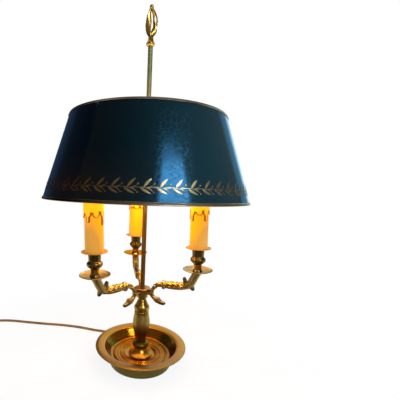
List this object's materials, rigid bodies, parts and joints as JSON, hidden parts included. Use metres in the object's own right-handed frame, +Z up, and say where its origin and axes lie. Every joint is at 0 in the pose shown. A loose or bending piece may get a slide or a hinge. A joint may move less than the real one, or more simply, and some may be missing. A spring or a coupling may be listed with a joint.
{
  "type": "bouillotte lamp",
  "caption": "Table lamp with a round brass dish base, turned column, cast candle arms with drip candles, and a dark metal cone shade that slides and turns on a centre rod.",
  "frame": {"origin": "on the axis of the column and rod, at the surface the lamp stands on", "axes": "+Z up along the rod, -Y towards the viewer, +X to the viewer's right; the cord leaves to -X behind the dish"},
  "size_m": [0.5054, 0.3218, 0.5738],
  "materials": {
    "felt": "thick green felt",
    "plain_steel": "plain zinc finish",
    "ballast_iron": "rough cast iron",
    "brass_fittings": "machined brass",
    "dish_brass": "polished spun brass, warm",
    "black_rubber": "soft black rubber",
    "column_brass": "aged turned brass, olive",
    "copper_tone": "polished coppery brass",
    "rod_brass": "drawn brass, greenish",
    "arm_brass": "cast and chased brass",
    "cup_brass": "aged turned brass, dark",
    "candle_wax": "waxy, lit from within, brown drip edges",
    "holder_plastic": "black moulded lamp holder",
    "bulb_glass": "clear glass with a warm light",
    "shade_paint": "glossy dark blue-green lacquer, fine crackle, gold leaf band",
    "rim_brass": "rolled brass edge",
    "switch_case": "gold-brown moulded plastic",
    "switch_rocker": "black moulded plastic",
    "plug_plastic": "gold-brown moulded plastic",
    "pin_brass": "nickelled brass",
    "cord_gold": "smooth gold-brown plastic",
    "tie_plastic": "black strap"
  },
  "bodies": {
    "stand": {"felt_pad": "felt", "base_cover": "plain_steel", "ballast_disc": "ballast_iron", "base_locknut": "brass_fittings", "base_washer": "plain_steel", "dish": "dish_brass", "threaded_tube": "plain_steel", "cord_bushing": "black_rubber", "column_foot": "column_brass", "column_baluster": "column_brass", "column_ring": "column_brass", "column_bead": "column_brass", "column_cone": "column_brass", "arm_hub": "column_brass", "hub_cap": "copper_tone", "rod": "rod_brass", "finial": "rod_brass", "arm_nipples": "brass_fittings", "arm_right": "arm_brass", "arm_back": "arm_brass", "arm_left": "arm_brass", "candle_nipples": "plain_steel", "saucer_right": "copper_tone", "saucer_back": "copper_tone", "saucer_left": "copper_tone", "cup_right": "cup_brass", "cup_back": "cup_brass", "cup_left": "cup_brass", "pan_right": "candle_wax", "pan_back": "candle_wax", "pan_left": "candle_wax", "sleeve_right": "candle_wax", "sleeve_back": "candle_wax", "sleeve_left": "candle_wax", "holder_right": "holder_plastic", "holder_back": "holder_plastic", "holder_left": "holder_plastic", "bulb_right": "bulb_glass", "bulb_back": "bulb_glass", "bulb_left": "bulb_glass", "bulb_caps": "plain_steel", "switch_lower": "switch_case", "switch_upper": "switch_case", "plug_body": "plug_plastic", "plug_pins": "pin_brass", "cord_lead": "cord_gold", "cord_link": "cord_gold", "cord_tail": "cord_gold", "cord_coil": "cord_gold", "cord_tie": "tie_plastic"},
    "shade_slide": {"slide_collar": "brass_fittings", "ring_nut": "brass_fittings"},
    "shade": {"shade_cone": "shade_paint", "shade_bottom_rim": "rim_brass", "shade_top_rim": "rim_brass", "spider_hub": "brass_fittings", "shade_spider": "brass_fittings", "shade_rivets": "shade_paint"},
    "lock_screw": {"lock_screw": "brass_fittings"},
    "rocker": {"switch_rocker": "switch_rocker"}
  },
  "joints": [
    {"name": "shade_height", "type": "slide", "parent": "stand", "child": "shade_slide", "axis": [0, 0, 1], "range_m": [-0.018, 0.11]},
    {"name": "shade_turn", "type": "hinge", "parent": "shade_slide", "child": "shade", "pos_m": [0, 0, 0.3861], "axis": [0, 0, 1], "continuous": true},
    {"name": "lock_turn", "type": "hinge", "parent": "shade_slide", "child": "lock_screw", "pos_m": [0, 0, 0.37218], "axis": [0.6428, 0.766, 0], "range_deg": [0, 180]},
    {"name": "switch_press", "type": "hinge", "parent": "stand", "child": "rocker", "pos_m": [-0.327, 0.054, 0.012], "axis": [1, 0, 0], "range_deg": [-14, 0]}
  ]
}
